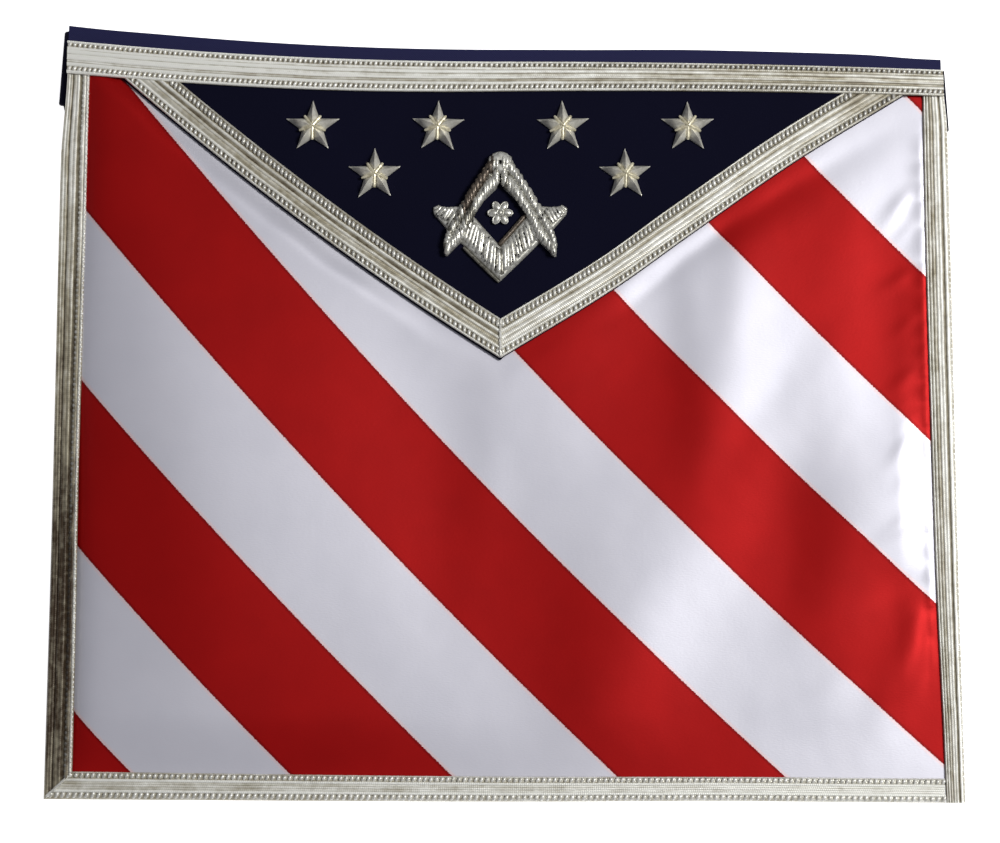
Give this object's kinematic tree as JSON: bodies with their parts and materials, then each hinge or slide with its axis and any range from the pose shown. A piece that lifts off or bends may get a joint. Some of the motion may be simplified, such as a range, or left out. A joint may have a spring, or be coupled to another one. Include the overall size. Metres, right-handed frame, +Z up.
{
  "type": "masonic apron",
  "caption": "Lodge apron lying flat: striped satin panel edged in metal braid, pointed velvet flap with padded stars and a square and compass, and a belt folded behind.",
  "frame": {"origin": "on the table under the middle of the whole apron's outline", "axes": "+X to the right across the apron as it is seen, +Y from the hem to the waist edge, +Z up out of its face"},
  "size_m": [0.4088, 0.352, 0.0131],
  "materials": {
    "satin": "woven satin, bright red and white diagonal stripes",
    "velvet": "navy velvet",
    "braid": "silver metallic braid with rope edges",
    "bullion": "silver bullion wire embroidery over padding",
    "webbing": "navy ribbed webbing",
    "clasp": "plain nickel plate"
  },
  "bodies": {
    "root": {"panel": "satin", "flap": "velvet", "waist_braid": "braid", "left_braid": "braid", "right_braid": "braid", "hem_braid": "braid", "flap_braid_left": "braid", "flap_braid_right": "braid", "star_1": "bullion", "star_2": "bullion", "star_3": "bullion", "star_4": "bullion", "star_5": "bullion", "star_6": "bullion", "square": "bullion", "compass_leg_left": "bullion", "compass_leg_right": "bullion", "compass_head": "bullion", "rosette": "bullion", "belt": "webbing", "belt_clasp": "clasp"}
  },
  "joints": []
}
